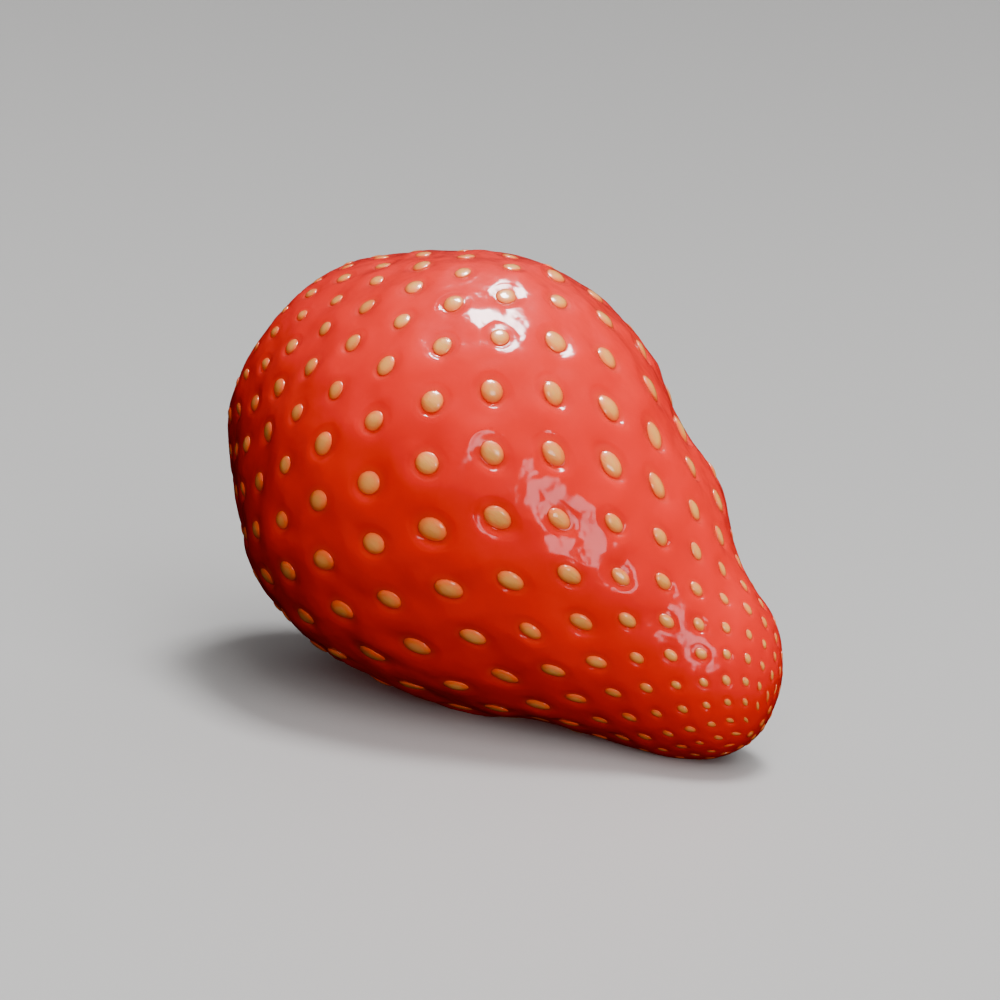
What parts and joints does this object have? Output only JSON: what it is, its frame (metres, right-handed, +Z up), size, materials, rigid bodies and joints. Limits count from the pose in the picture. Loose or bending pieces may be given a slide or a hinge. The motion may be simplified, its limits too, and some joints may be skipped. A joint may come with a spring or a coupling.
{
  "type": "strawberry",
  "caption": "Whole ripe strawberry without its leaves, a blunt round shoulder tapering to a small rounded tip, lying on its flank.",
  "frame": {"origin": "centre of the bounding box at its bottom, on the surface that the fruit lies on", "axes": "+Z up; +X the way the tip points, seen from above, so the fruit's axis lies in the XZ plane and dips towards the tip; +Y to the left of the tip's direction"},
  "size_m": [0.0388, 0.0294, 0.0289],
  "materials": {
    "flesh": null,
    "seed": "dry straw-coloured seeds with a satin shine",
    "scar": "dull, pale, fibrous scar where the leaves came off"
  },
  "bodies": {
    "root": {"strawberry": "flesh"}
  },
  "joints": []
}
